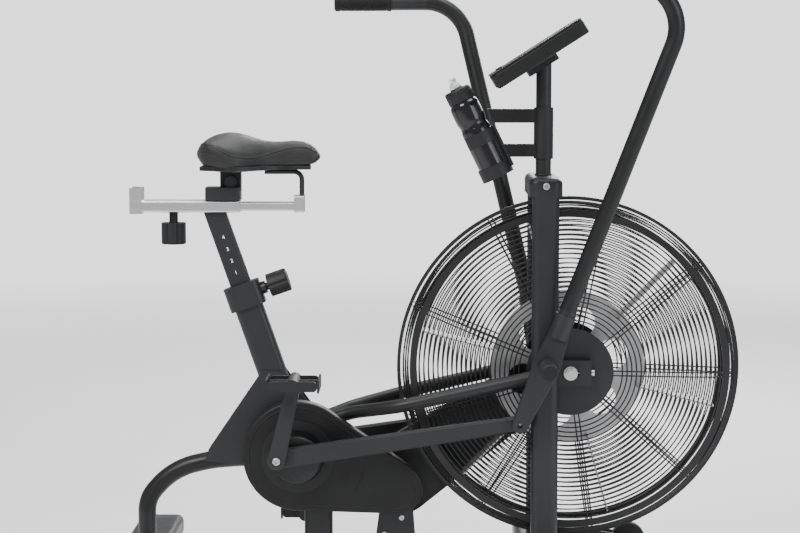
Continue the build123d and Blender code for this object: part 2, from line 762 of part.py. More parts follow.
def make_pedals():
    spindles = []
    for side, word in ((RIGHT, "right"), (LEFT, "left")):
        x, z = pedal_centre(side)
        spindle = side_disc(side, x, z, spindle_radius, arm_inner + 3, pedal_outer - 6)
        spindle += side_disc(side, x, z, 9, arm_outer, arm_outer + 4)
        spindles.append(spindle)
        barrel = side_disc(side, x, z, 14, pedal_inner, pedal_outer)
        for inner in (pedal_inner, pedal_outer - 7):
            plate = Pos(x, z) * rounded(2 * pedal_half_length - 14, 20, 8)
            barrel += side_slab(side, plate, inner, inner + 7)
        block = Pos(x, z) * rounded(2 * pedal_half_length - 14, 15, 4)
        ribs = side_slab(side, block, pedal_y - 5, pedal_y + 5)
        barrel += ribs
        barrel -= side_disc(side, x, z, spindle_radius + turning_gap, 0, pedal_outer - 5)
        keep(word + "_pedal_body", barrel)
        bars = []
        for end in (-1, 1):
            bar_x = x + end * (pedal_half_length - 5)
            face = Pos(bar_x, z) * rounded(4, 26, 1.5)
            strip = side_slab(side, face, pedal_inner, pedal_outer)
            for index in range(6):
                middle = side * (pedal_inner + 9 + index * 14.4)
                notch = Pos(bar_x, middle, z) * Rot(0, 90, 0) * Cylinder(4, 12)
                strip -= Pos(0, 0, 13) * notch
                strip -= Pos(0, 0, -13) * notch
            bars.append(strip)
        keep(word + "_pedal_cage", *bars)
    keep("pedal_spindles", *spindles)


def make_rods():
    for side, word in ((RIGHT, "right"), (LEFT, "left")):
        x, z = crank_pin(side)
        fx, fz = lever_foot(side)
        turn = math.degrees(math.atan2(fz - z, fx - x))
        body = outline((0, -20), (rod_length, -16), (rod_length, 16), (0, 20))
        body += Circle(22)
        body += Pos(rod_length, 0) * Circle(17)
        body -= Circle(pin_radius + turning_gap)
        body -= Pos(rod_length, 0) * Circle(6)
        rod = side_slab(side, Pos(x, z) * Rot(0, 0, turn) * body, rod_inner, rod_outer)
        low_edges = rod.edges().filter_by(GeomType.LINE).filter_by(
            lambda edge: edge.length > rod_length * 0.8)
        keep(word + "_link_rod", chamfer(low_edges, 4))


def make_levers():
    shafts = []
    for side, word in ((RIGHT, "right"), (LEFT, "left")):
        fx, fz = lever_foot(side)
        sx, sz = handle_point(side, handle_socket)
        lever = side_slab(side, belt_outline((lever_pivot_x, lever_pivot_height, 27), (fx, fz, 16)),
                          arm_inner, arm_outer)
        lever += side_slab(side, belt_outline((lever_pivot_x, lever_pivot_height, 27), (sx, sz, 17)),
                           arm_inner, arm_outer)
        outer_face = lever.faces().sort_by(Axis.Y)[0 if side == RIGHT else -1]
        lever = chamfer(outer_face.edges(), 2)
        middle = side * (arm_inner + arm_outer) / 2
        low = handle_point(side, 58)
        lever += bar((low[0], middle, low[1]), (sx, middle, sz), handle_diameter + 8)
        seat_low = handle_point(side, 66)
        seat_high = handle_point(side, handle_socket + 40)
        lever -= bar((seat_low[0], middle, seat_low[1]), (seat_high[0], middle, seat_high[1]),
                     handle_diameter)
        lever -= side_disc(side, lever_pivot_x, lever_pivot_height,
                           pivot_shaft_radius + turning_gap, 0, 300)
        lever -= side_disc(side, fx, fz, 5, 0, 300)
        keep(word + "_lever", lever.solids().sort_by(SortBy.VOLUME)[-1])
        make_handle(side, word, middle)
        shaft = side_disc(side, lever_pivot_x, lever_pivot_height, pivot_shaft_radius,
                          post_inner, arm_outer + 18)
        shaft += side_disc(side, lever_pivot_x, lever_pivot_height, 16,
                           post_inner + post_width, arm_inner - side_gap)
        shafts.append(shaft)
    keep("lever_pivot_shafts", *shafts)
    pegs = []
    for side in (RIGHT, LEFT):
        peg = side_disc(side, lever_pivot_x, lever_pivot_height, peg_diameter / 2,
                        arm_outer + side_gap + 2, peg_end)
        end = peg.faces().sort_by(Axis.Y)[0 if side == RIGHT else -1]
        peg = fillet(end.edges(), 3)
        peg -= side_disc(side, lever_pivot_x, lever_pivot_height, pivot_shaft_radius, 0, arm_outer + 18)
        pegs.append(peg)
    keep("right_foot_peg", pegs[0])
    keep("left_foot_peg", pegs[1])


def make_handle(side, word, socket_y):
    start, knee = handle_point(side, 66), handle_point(side, handle_socket + 18)
    corner = handle_point(side, handle_leg)
    direction = 90 - handle_lean(side) + 180 - handle_corner_angle
    reach = polar(handle_reach, direction)
    top_y = side * handle_top_y
    end = (corner[0] + reach[0], top_y, corner[1] + reach[1])
    points = [(start[0], socket_y, start[1]), (knee[0], socket_y, knee[1]),
              (corner[0], top_y, corner[1]), end]
    handle = tube(points, [200, handle_bend_radius], handle_diameter, tube_wall)
    keep(word + "_handlebar", handle)
    near = polar(handle_reach - grip_length, direction)
    far = polar(handle_reach + 4, direction)
    begin = (corner[0] + near[0], top_y, corner[1] + near[1])
    finish = (corner[0] + far[0], top_y, corner[1] + far[1])
    grip = bar(begin, finish, handle_diameter + 2 * grip_wall)
    grip = fillet(grip.edges().filter_by(GeomType.CIRCLE), 2.4)
    keep(word + "_grip", grip - bar(begin, end, handle_diameter))


# ---- seat ---------------------------------------------------------------------------------------
post_depth_size = seat_tube_depth - 2 * (seat_tube_wall + sleeve_wall + sliding_gap)
post_width_size = seat_tube_width - 2 * (seat_tube_wall + sleeve_wall + sliding_gap)
channel_base = crank_height + post_top_along * math.cos(math.radians(seat_lean))
channel_rear_x = channel_front_x - channel_length
slide_width = channel_width - 2 * (channel_wall + sliding_gap)


def make_seat_post():
    post = seat_column(post_depth_size, post_width_size, 5, post_top_along - seat_post_length,
                       post_top_along + 30)
    for index in range(8):
        centre = seat_plane(knob_along - 100 + index * 25, post_depth_size / 2 - 6)
        hole = Plane(origin=centre.origin, z_dir=centre.x_dir) * Circle(knob_pin_radius + 0.5)
        post -= extrude(hole, 10)
    keep("seat_post", post - box(-400, 100, -50, 50, channel_base, channel_base + 100))
    section = rounded(channel_width, channel_height, 4)
    section -= rounded(channel_width - 2 * channel_wall, channel_height - 2 * channel_wall, 1.5)
    section -= Pos(0, channel_height / 2) * Rectangle(channel_slot, 3 * channel_wall)
    plane = Plane(origin=(channel_rear_x, 0, channel_base + channel_height / 2),
                  x_dir=(0, 1, 0), z_dir=(1, 0, 0))
    channel = extrude(plane * section, channel_length)
    knob_bore = Pos(slide_knob_x, 0, channel_base - 10) * extrude(Circle(slide_screw_radius +
                                                                         turning_gap), 20)
    keep("seat_channel", channel - knob_bore)
    stop = box(channel_rear_x, channel_rear_x + 24, -channel_width / 2 - 3, channel_width / 2 + 3,
               channel_base - 3, channel_base + channel_height + 26)
    hollow = box(channel_rear_x - 1, channel_rear_x + 21, -channel_width / 2 + 2,
                 channel_width / 2 - 2, channel_base + channel_height + 3,
                 channel_base + channel_height + 30)
    envelope = box(channel_rear_x, channel_rear_x + 40, -channel_width / 2, channel_width / 2,
                   channel_base, channel_base + channel_height)
    keep("seat_channel_bracket", stop - hollow - envelope)


def make_seat_knobs():
    base = channel_base
    screw = Pos(slide_knob_x, 0, base - 22) * extrude(Circle(slide_screw_radius), 24.5)
    head = Pos(slide_knob_x, 0, base - 66) * extrude(knob_section(25, 6), 44)
    head = fillet(head.faces().sort_by(Axis.Z)[0].edges(), 3)
    collar = Pos(slide_knob_x, 0, base - 22) * extrude(Circle(9), 21)
    keep("seat_slide_knob", screw + head + collar)
    pin = extrude(knob_plane(post_depth_size / 2 + 0.5) * Circle(knob_pin_radius),
                  54 - post_depth_size / 2)
    grip_start = collar_depth / 2 + 10 + side_gap
    neck = extrude(knob_plane(grip_start) * Circle(8), 6)
    head = extrude(knob_plane(grip_start + 6) * knob_section(24, 6), 42)
    outer = head.faces().sort_by(lambda face: face.center().X)[-1]
    keep("seat_height_knob", pin + neck + fillet(outer.edges(), 3))


def knob_section(radius, lobes):
    """Lobed hand-knob outline."""
    section = Circle(radius)
    for index in range(lobes):
        dx, dy = polar(radius + 3.5, index * 360 / lobes)
        section -= Pos(dx, dy) * Circle(6)
    return section


def make_saddle_carriage():
    low = channel_base + channel_wall + sliding_gap
    middle = low + slide_height / 2
    plane = Plane(origin=(slide_rear_x, 0, middle), x_dir=(0, 1, 0), z_dir=(1, 0, 0))
    slide = extrude(plane * rounded(slide_width, slide_height, 3), slide_front_x - slide_rear_x)
    keep("seat_slide_bar", slide)
    neck_half = channel_slot / 2 - sliding_gap
    channel_top = channel_base + channel_height
    block = box(-190, -119, -27, 27, channel_top + sliding_gap, channel_top + 27)
    block = fillet(block.edges().filter_by(Axis.Z), 6)
    block += box(-184, -125, -neck_half, neck_half, low + slide_height, channel_top + 2)
    lug = slab(Pos(-138, saddle_clamp_height) * Circle(13), -20, 20)
    block += box(-160, -118, -13, 13, channel_top + 20, saddle_base)
    keep("saddle_clamp", block + lug - saddle_core())
    cap = box(slide_front_x, slide_front_x + 20, -25, 25, low - 3, low + slide_height + 14)
    keep("seat_slide_end", fillet(cap.edges().filter_by(Axis.X), 4))
    stay_z = saddle_base - shell_drop - stay_diameter / 2
    route = [(slide_front_x + 15, 0, low + slide_height + 14), (slide_front_x + 15, 0, stay_z),
             (-70, 0, stay_z)]
    keep("saddle_stay", tube(route, [16], stay_diameter) - saddle_core())


saddle_clamp_height = channel_base + channel_height + 38.0


def saddle_width_at(share):
    """Half width along the saddle, 0 at the tail and 1 at the nose tip."""
    tail = math.sqrt(max(0.0, 1 - (1 - min(share, 0.22) / 0.22) ** 2))
    blend = 1 / (1 + math.exp((share - 0.5) * 13))
    nose = math.sqrt(max(0.0, 1 - max(0.0, (share - 0.92) / 0.08) ** 2))
    return (22 + (saddle_width / 2 - 22) * blend) * (0.35 + 0.65 * tail) * (0.45 + 0.55 * nose)


def saddle_outline(scale=1.0):
    steps = 16
    upper = []
    for index in range(steps + 1):
        share = index / steps
        upper.append((saddle_rear_x + saddle_length * share, saddle_width_at(share) * scale))
    lower = [(x, -y) for x, y in reversed(upper)]
    side_top = Spline(*upper)
    side_low = Spline(*lower)
    nose = Line(upper[-1], lower[0])
    tail = Line(lower[-1], upper[0])
    return make_face(side_top + nose + side_low + tail)


def saddle_core():
    """Space that the saddle shell and cushion fill."""
    return Pos(0, 0, saddle_base - shell_drop) * extrude(saddle_outline(), 120, dir=(0, 0, 1))


def make_saddle():
    low = saddle_base - shell_drop
    high = low + shell_wall
    shell = Pos(0, 0, low) * extrude(saddle_outline(0.88), shell_wall, dir=(0, 0, 1))
    shell &= box(saddle_rear_x + shell_inset, saddle_rear_x + saddle_length - 2 * shell_inset,
                 -saddle_width, saddle_width, low, high)
    keep("saddle_shell", shell)
    body = Pos(0, 0, high) * extrude(saddle_outline(), saddle_top - high, dir=(0, 0, 1))
    profile = [(saddle_rear_x - 20, saddle_base), (saddle_rear_x - 20, saddle_top - 30),
               (saddle_rear_x + 10, saddle_top - 8), (saddle_rear_x + 62, saddle_top),
               (saddle_rear_x + 130, saddle_top - 18), (saddle_rear_x + 190, saddle_top - 20),
               (saddle_rear_x + 235, saddle_top - 24), (saddle_rear_x + 262, saddle_top - 46),
               (saddle_rear_x + 262, saddle_base)]
    trimmed = body & slab(outline(*profile), -saddle_width, saddle_width)
    keep("saddle_cushion", trimmed.solids().sort_by(SortBy.VOLUME)[-1])


# ---- console ------------------------------------------------------------------------------------
def console_plane(along=0.0, depth=0.0):
    """Plane of the console face, local x running up its length, depth measured into the case."""
    tilt = math.radians(console_tilt)
    half = console_length / 2 + along
    origin = (console_low_x - 9 + half * math.cos(tilt) + depth * math.sin(tilt), 0,
              console_low_height + 13 + half * math.sin(tilt) - depth * math.cos(tilt))
    return Plane(origin=origin, x_dir=(math.cos(tilt), 0, math.sin(tilt)),
                 z_dir=(-math.sin(tilt), 0, math.cos(tilt)))


button_rows = ((-82.0, -40.0), (-82.0, 0.0), (-82.0, 40.0))
face_wall = 3.0
case_wall = 3.0
screen_length = 96.0
screen_width = 140.0
screen_along = 26.0


def make_console():
    outer = extrude(console_plane(0, console_wall) * rounded(console_length, console_width, 16),
                    console_wall - face_wall)
    inner = extrude(console_plane(0, console_wall - case_wall) *
                    rounded(console_length - 2 * case_wall, console_width - 2 * case_wall, 13),
                    console_wall)
    bottom = outer.faces().sort_by(lambda face: face.center().Z)[0]
    outer = fillet(bottom.edges(), 4)
    mast = Pos(post_x, 0, post_top + 6) * extrude(Circle(mast_diameter / 2), mast_top)
    stub = extrude(console_plane(-4, console_wall) * rounded(70, 60, 8), -14)
    keep("console_case", outer - inner)
    keep("console_mount", stub - mast)
    trimmed = nodes["console_mast"] - outer - extrude(console_plane(0, console_wall) *
                                                     Rectangle(400, 400), 300)
    nodes["console_mast"] = trimmed.solids()[0]
    nodes["console_mast"].label = "console_mast"
    face = extrude(console_plane(0, face_wall) * rounded(console_length, console_width, 16), face_wall)
    window = rounded(screen_length, screen_width, 5)
    face -= extrude(console_plane(screen_along, face_wall) * window, face_wall)
    for along, across in button_rows:
        spot = console_plane(along, face_wall) * Pos(0, across)
        face -= extrude(spot * Circle(button_radius + 0.3), face_wall)
    keep("console_face", face)
    keep("console_screen", extrude(console_plane(screen_along, face_wall) * window, face_wall - 0.6))
    for index, (along, across) in enumerate(button_rows):
        spot = console_plane(along, face_wall + 1) * Pos(0, across)
        button = extrude(spot * Circle(button_radius), face_wall + 3.5)
        top = button.faces().sort_by(lambda face: face.center().Z)[-1]
        button = fillet(top.edges(), 0.8)
        flange = extrude(console_plane(along, face_wall + 2) * Pos(0, across) *
                         Circle(button_radius + 1.5), 1)
        keep("console_button_%d" % (index + 1), button + flange)


# ---- bottle and holder --------------------------------------------------------------------------
def bottle_plane(along):
    lean = math.radians(bottle_lean)
    origin = (bottle_foot_x - along * math.sin(lean), 0, bottle_foot_height + along * math.cos(lean))
    return Plane(origin=origin, x_dir=(math.cos(lean), 0, math.sin(lean)),
                 z_dir=(-math.sin(lean), 0, math.cos(lean)))


def bottle_round(radius, low, high):
    return extrude(bottle_plane(low) * Circle(radius), high - low)


def make_bottle():
    radius = bottle_diameter / 2
    body = bottle_round(radius, 0, bottle_length)
    body = fillet(body.faces().sort_by(Axis.Z)[-1].edges(), 12)
    waist = bottle_round(radius + 5, 108, 122) - bottle_round(radius - 3, 108, 122)
    keep("bottle_body", body - waist)
    cap = bottle_round(radius - 3, bottle_length, bottle_length + 26)
    cap = fillet(cap.faces().sort_by(Axis.Z)[-1].edges(), 4)
    keep("bottle_cap", cap)
    nozzle = bottle_round(13, bottle_length + 26, bottle_length + 38)
    nozzle += bottle_round(9, bottle_length + 38, bottle_length + 50)
    keep("bottle_nozzle", nozzle)
    inner = radius + side_gap
    outer = inner + holder_wall
    holder = bottle_round(outer, -side_gap - holder_wall, 24) - bottle_round(inner, -side_gap, 30)
    holder += bottle_round(outer, 70, 96) - bottle_round(inner, 60, 100)
    front = bottle_plane(-side_gap)
    spine = extrude(front * Pos(outer, 0) * Rectangle(2 * outer, 44), 97)
    holder += (bottle_round(outer, -side_gap, 96) - bottle_round(inner, -side_gap, 96)) & spine
    pad = extrude(bottle_plane(6) * Pos(outer + 2, 0) * Rectangle(6, 20), 90) - \
        bottle_round(outer - 0.5, 0, 100)
    mouth = extrude(bottle_plane(30) * Pos(-outer, 0) * Rectangle(outer, 34), 80)
    holder = holder + pad - mouth
    keep("bottle_holder", holder)
    arms = []
    for low, high in ((957, 985), (888, 914)):
        arm = box(320, post_x, -11, 11, low, high)
        arm -= extrude(bottle_plane(-60) * Rectangle(2 * (outer + 5), 100), 400)
        arm -= Pos(post_x, 0, 700) * extrude(Circle(mast_diameter / 2), 400)
        arms.append(arm.solids().sort_by(SortBy.VOLUME)[-1])
    clamp = Pos(post_x, 0, 884) * extrude(Circle(mast_diameter / 2 + 4), 104)
    clamp -= Pos(post_x, 0, 880) * extrude(Circle(mast_diameter / 2), 120)
    bracket = clamp + arms[0] + arms[1]
    keep("bottle_bracket", bracket)


# ---- wheels and fasteners -----------------------------------------------------------------------
wheel_x = post_x + wheel_ahead
wheel_y = tube_end - wheel_width / 2 - wheel_gap


def make_wheels():
    forks, axles = [], []
    for side, word in ((RIGHT, "right"), (LEFT, "left")):
        inner, outer = wheel_y - wheel_width / 2, wheel_y + wheel_width / 2
        wheel = side_disc(side, wheel_x, wheel_height, wheel_radius, inner, outer)
        wheel = fillet(wheel.edges().filter_by(GeomType.CIRCLE), 5)
        groove = side_disc(side, wheel_x, wheel_height, 24, outer - 4, outer)
        groove -= side_disc(side, wheel_x, wheel_height, 12, outer - 4, outer)
        bore = side_disc(side, wheel_x, wheel_height, 6 + turning_gap, inner, outer)
        keep(word + "_transport_wheel", wheel - groove - bore)
        front = post_x + stabilizer_depth / 2
        middle = stabilizer_base + stabilizer_height / 2
        arm_face = outline((front, middle - 16), (front, middle + 16), (wheel_x - 8, wheel_height + 13),
                           (wheel_x + 6, wheel_height + 13), (wheel_x + 14, wheel_height),
                           (wheel_x + 6, wheel_height - 13), (wheel_x - 8, wheel_height - 13))
        for start in (inner - 5.5, outer + 0.5):
            forks.append(side_slab(side, arm_face, start, start + 5) -
                         side_disc(side, wheel_x, wheel_height, 6, 0, 300))
        axle = side_disc(side, wheel_x, wheel_height, 6, inner - 8, outer + 8)
        axle += side_disc(side, wheel_x, wheel_height, 10, inner - 8, inner - 5.5)
        axle += side_disc(side, wheel_x, wheel_height, 10, outer + 5.5, outer + 8)
        axles.append(axle)
    keep("transport_wheel_arms", *forks)
    keep("transport_wheel_axles", *axles)


def hex_bolt(side, x, z, face_y, size=8.0):
    """Button head with a hexagon recess, on a face at a distance from the centre plane."""
    head = side_disc(side, x, z, size, face_y, face_y + size * 0.55)
    top = head.faces().sort_by(Axis.Y)[0 if side == RIGHT else -1]
    head = fillet(top.edges(), size * 0.3)
    recess = side_slab(side, Pos(x, z) * RegularPolygon(size * 0.45, 6),
                       face_y + size * 0.2, face_y + size)
    return head - recess


def make_bolts():
    frame_bolts, crank_bolts = [], []
    for side in (RIGHT, LEFT):
        yoke_face = post_inner + post_width
        frame_bolts.append(hex_bolt(side, post_x, post_top + 22, yoke_face, 7))
        for dz in (-70, -105):
            frame_bolts.append(hex_bolt(side, jackshaft_x - 26 + (dz + 105), jackshaft_height + dz,
                                        beam_width / 2 + 5, 6))
        x, z = crank_pin(side)
        crank_bolts.append(hex_bolt(side, x, z, arm_outer, 8))
    keep("frame_bolts", *frame_bolts)
    keep("right_crank_bolt", crank_bolts[0])
    keep("left_crank_bolt", crank_bolts[1])


# ---- assembly -----------------------------------------------------------------------------------
make_stabilizer("rear_stabilizer", rear_stabilizer_x, "rear")
make_stabilizer("front_stabilizer", post_x, "front")
make_feet()
make_posts()
make_rails()
make_gusset()
make_seat_tube()
make_rear_leg()
make_lower_frame()
make_jack_brackets()
make_bearings()
make_cage()
make_axle_parts()
make_fan()
make_drive()
make_guards()
make_crank()
make_rods()
make_levers()
make_seat_post()
make_seat_knobs()
make_saddle_carriage()
make_saddle()
make_console()
make_bottle()
make_wheels()
make_bolts()

# Pieces that are welded or bolted into one set share a file, each as its own solid.
sets = {
    "stabilizers": ("front_stabilizer", "rear_stabilizer"),
    "stabilizer_caps": ("right_front_cap", "left_front_cap", "right_rear_cap", "left_rear_cap"),
    "front_posts": ("right_front_post", "left_front_post"),
    "side_rails": ("right_side_rail", "left_side_rail"),
    "lower_frame": ("bottom_bracket_shell", "center_strut", "base_beam"),
    "seat_tube": ("seat_tube", "seat_tube_collar"),
    "axle_brackets": ("right_axle_bracket", "left_axle_bracket"),
    "jackshaft_brackets": ("right_jackshaft_bracket", "left_jackshaft_bracket"),
    "hub_covers": ("right_hub_cover", "left_hub_cover"),
    "foot_pegs": ("right_foot_peg", "left_foot_peg", "lever_pivot_shafts"),
    "fan_axle": ("fan_axle", "axle_nuts", "frame_bolts"),
    "drive_chains": ("right_chain", "left_chain"),
    "console_case": ("console_case", "console_mount"),
    "bottle_holder": ("bottle_holder", "bottle_bracket"),
    "water_bottle": ("bottle_body", "bottle_cap", "bottle_nozzle"),
    "transport_wheel_arms": ("transport_wheel_arms", "transport_wheel_axles"),
    "crank_arms": ("right_crank_arm", "left_crank_arm"),
    "eccentrics": ("right_eccentric", "left_eccentric"),
    "pedal_spindles": ("pedal_spindles", "right_crank_bolt", "left_crank_bolt"),
    "right_pedal": ("right_pedal_body", "right_pedal_cage"),
    "left_pedal": ("left_pedal_body", "left_pedal_cage"),
    "jackshaft": ("jackshaft", "jackshaft_small_sprocket", "jackshaft_large_sprocket"),
    "fan_hub": ("fan_hub", "fan_sprocket"),
    "fan_blades": ("fan_blades", "fan_spider"),
    "seat_channel": ("seat_channel", "seat_channel_bracket"),
    "seat_slide_bar": ("seat_slide_bar", "seat_slide_end"),
    "saddle_clamp": ("saddle_clamp", "saddle_stay", "saddle_shell"),
}
for set_name, members in sets.items():
    gathered = [nodes.pop(member) for member in members]
    keep(set_name, *gathered)

boxes = [node.bounding_box() for node in nodes.values()]
shift_x = -(min(b.min.X for b in boxes) + max(b.max.X for b in boxes)) / 2

for name, node in nodes.items():
    export_step(Pos(shift_x, 0, 0) * node, "parts/%s.step" % name)
print(len(nodes), "nodes, origin shift", round(shift_x, 3))
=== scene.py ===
import json
import math

import bmesh
import bpy
from mathutils import Matrix, Vector


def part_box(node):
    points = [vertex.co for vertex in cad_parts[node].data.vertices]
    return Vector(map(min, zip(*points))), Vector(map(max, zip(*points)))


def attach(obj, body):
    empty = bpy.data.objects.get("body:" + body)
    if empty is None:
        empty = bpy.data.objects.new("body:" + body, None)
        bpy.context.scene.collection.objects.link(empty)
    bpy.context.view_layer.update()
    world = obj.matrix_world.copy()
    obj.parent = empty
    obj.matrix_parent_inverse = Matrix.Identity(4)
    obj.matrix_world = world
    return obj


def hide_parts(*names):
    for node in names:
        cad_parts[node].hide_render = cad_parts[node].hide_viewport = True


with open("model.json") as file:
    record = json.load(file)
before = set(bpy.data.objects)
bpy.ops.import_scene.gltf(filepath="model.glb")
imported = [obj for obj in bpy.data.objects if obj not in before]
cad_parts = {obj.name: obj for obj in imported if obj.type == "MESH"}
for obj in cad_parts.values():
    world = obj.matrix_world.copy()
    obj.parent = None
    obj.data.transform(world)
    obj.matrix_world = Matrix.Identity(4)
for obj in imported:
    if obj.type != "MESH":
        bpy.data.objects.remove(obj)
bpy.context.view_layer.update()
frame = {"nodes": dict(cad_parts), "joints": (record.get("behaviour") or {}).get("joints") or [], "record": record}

nodes = frame["nodes"]
MM = 0.001


# ---- node helpers -------------------------------------------------------------------------------
class Look:
    """One procedural material. Methods add nodes and return sockets."""

    def __init__(self, name):
        self.material = bpy.data.materials.new(name)
        self.material.use_nodes = True
        self.tree = self.material.node_tree
        self.shader = self.tree.nodes["Principled BSDF"]
        self.place = self.tree.nodes.new("ShaderNodeTexCoord").outputs["Object"]

    def add(self, kind, **values):
        node = self.tree.nodes.new(kind)
        for key, value in values.items():
            if hasattr(node, key):
                setattr(node, key, value)
            else:
                node.inputs[key.replace("_", " ")].default_value = value
        return node

    def link(self, source, target):
        self.tree.links.new(source, target)

    def stretched(self, scale):
        node = self.add("ShaderNodeMapping")
        node.inputs["Scale"].default_value = scale
        self.link(self.place, node.inputs["Vector"])
        return node.outputs["Vector"]

    def noise(self, scale, detail=4.0, rough=0.55, vector=None):
        node = self.add("ShaderNodeTexNoise", Scale=scale, Detail=detail, Roughness=rough)
        self.link(vector or self.place, node.inputs["Vector"])
        return node.outputs["Fac"]

    def cells(self, scale, feature="F1"):
        node = self.add("ShaderNodeTexVoronoi", Scale=scale)
        node.feature = feature
        self.link(self.place, node.inputs["Vector"])
        return node.outputs["Distance"]

    def spread(self, value, low_in, high_in, low_out, high_out):
        node = self.add("ShaderNodeMapRange")
        node.inputs["From Min"].default_value = low_in
        node.inputs["From Max"].default_value = high_in
        node.inputs["To Min"].default_value = low_out
        node.inputs["To Max"].default_value = high_out
        self.link(value, node.inputs["Value"])
        return node.outputs["Result"]

    def mix(self, factor, first, second):
        node = self.add("ShaderNodeMix", data_type="RGBA")
        for index, colour in ((6, first), (7, second)):
            if isinstance(colour, (tuple, list)):
                node.inputs[index].default_value = (*colour, 1)
            else:
                self.link(colour, node.inputs[index])
        self.link(factor, node.inputs[0])
        return node.outputs[2]

    def colour(self, source):
        self.link(source, self.shader.inputs["Base Color"])

    def rough(self, source):
        self.link(source, self.shader.inputs["Roughness"])

    def bump(self, height, strength, distance, base=None):
        node = self.add("ShaderNodeBump")
        node.inputs["Strength"].default_value = strength
        node.inputs["Distance"].default_value = distance
        self.link(height, node.inputs["Height"])
        if base is not None:
            self.link(base, node.inputs["Normal"])
        self.link(node.outputs["Normal"], self.shader.inputs["Normal"])
        return node.outputs["Normal"]

    def fix(self, **values):
        for key, value in values.items():
            self.shader.inputs[key.replace("_", " ")].default_value = value
        return self


def painted_edge_highlight(look, body, edge):
    """Painted highlight: lighten convex edges a little, where light would catch them."""
    point = look.add("ShaderNodeNewGeometry").outputs["Pointiness"]
    amount = look.spread(point, 0.51, 0.56, 0.0, 0.55)
    return look.mix(amount, body, edge)


def powder_coat(name, dark, light, grain=900.0, gloss=0.42):
    look = Look(name)
    clouds = look.noise(7.0, 3.0)
    speck = look.noise(grain, 2.0, 0.6)
    base = look.mix(look.spread(clouds, 0.3, 0.7, 0.0, 1.0), dark, light)
    fine = look.mix(look.spread(speck, 0.45, 0.75, 0.0, 0.35), base, tuple(c * 1.7 + 0.002 for c in light))
    # Convex edges get a painted highlight: a brighter copy of the light colour.
    look.colour(painted_edge_highlight(look, fine, tuple(c * 2.4 + 0.008 for c in light)))
    look.rough(look.spread(look.noise(22.0), 0.3, 0.7, gloss - 0.06, gloss + 0.08))
    first = look.bump(speck, 0.22, 0.0004)
    look.bump(look.noise(140.0, 2.0), 0.08, 0.0006, first)
    look.fix(Specular_IOR_Level=0.3, Coat_Weight=0.05, Coat_Roughness=0.3)
    return look.material


def brushed_metal(name, dark, light, scale, rough=0.3, grain=1.0):
    look = Look(name)
    lines = look.noise(60.0, 5.0, 0.7, look.stretched(scale))
    clouds = look.noise(9.0, 3.0)
    base = look.mix(look.spread(lines, 0.3, 0.7, 0.0, 1.0), dark, light)
    stained = look.mix(look.spread(clouds, 0.4, 0.8, 0.0, 0.35), base, dark)
    # Convex edges get a painted highlight: a brighter copy of the light colour.
    look.colour(painted_edge_highlight(look, stained, tuple(min(1.0, c * 1.15) for c in light)))
    look.rough(look.spread(lines, 0.3, 0.7, rough - 0.08, rough + 0.12))
    look.bump(lines, 0.12 * grain, 0.0003)
    look.fix(Metallic=1.0, Anisotropic=0.35)
    return look.material


def moulded_plastic(name, dark, light, grain=650.0, rough=0.5):
    look = Look(name)
    pits = look.cells(grain)
    clouds = look.noise(12.0, 3.0)
    base = look.mix(look.spread(clouds, 0.3, 0.7, 0.0, 1.0), dark, light)
    # Convex edges get a painted highlight: a brighter copy of the light colour.
    look.colour(painted_edge_highlight(look, base, tuple(c * 2.0 + 0.006 for c in light)))
    look.rough(look.spread(look.noise(35.0), 0.3, 0.7, rough - 0.07, rough + 0.09))
    first = look.bump(pits, 0.25, 0.00025)
    look.bump(look.noise(60.0), 0.05, 0.0008, first)
    look.fix(Specular_IOR_Level=0.3)
    return look.material


def soft_rubber(name, dark, light, rough=0.72):
    look = Look(name)
    speck = look.noise(700.0, 3.0)
    dust = look.noise(14.0, 4.0)
    base = look.mix(look.spread(dust, 0.45, 0.8, 0.0, 0.8), dark, light)
    look.colour(base)
    look.rough(look.spread(look.noise(40.0), 0.3, 0.7, rough - 0.08, rough + 0.1))
    look.bump(speck, 0.3, 0.0004)
    look.fix(Specular_IOR_Level=0.3, Sheen_Weight=0.08)
    return look.material


def saddle_leather(name, dark, light, grain=420.0):
    look = Look(name)
    creases = look.cells(grain, "DISTANCE_TO_EDGE")
    warp = look.noise(45.0, 5.0)
    base = look.mix(look.spread(look.noise(10.0, 4.0), 0.3, 0.7, 0.0, 1.0), dark, light)
    # Painted shade: the creases of the grain are darkened, as if shade lay in them.
    painted_crease_shade = look.mix(look.spread(creases, 0.0, 0.08, 0.6, 0.0), base, tuple(c * 0.4 for c in dark))
    look.colour(painted_crease_shade)
    look.rough(look.spread(warp, 0.3, 0.7, 0.38, 0.56))
    first = look.bump(look.spread(creases, 0.0, 0.12, 0.0, 1.0), 0.35, 0.0004)
    look.bump(warp, 0.12, 0.0012, first)
    look.fix(Specular_IOR_Level=0.5, Sheen_Weight=0.1, Sheen_Roughness=0.4)
    return look.material


def tinted_clear(name, tint, rough=0.12, transmission=0.85, alpha=1.0):
    look = Look(name)
    haze = look.noise(18.0, 4.0)
    look.colour(look.mix(look.spread(haze, 0.3, 0.7, 0.0, 1.0), tint, tuple(c * 0.75 for c in tint)))
    look.rough(look.spread(look.noise(30.0), 0.3, 0.7, rough - 0.05, rough + 0.1))
    look.bump(haze, 0.05, 0.001)
    look.fix(Transmission_Weight=transmission, IOR=1.46, Alpha=alpha)
    return look.material


def screen_look(name):
    look = Look(name)
    sweep = look.noise(5.0, 2.0)
    look.colour(look.mix(look.spread(sweep, 0.2, 0.8, 0.0, 1.0), (0.03, 0.045, 0.04), (0.055, 0.07, 0.06)))
    look.rough(look.spread(look.noise(26.0), 0.3, 0.7, 0.08, 0.16))
    look.fix(Coat_Weight=0.6, Coat_Roughness=0.06)
    return look.material


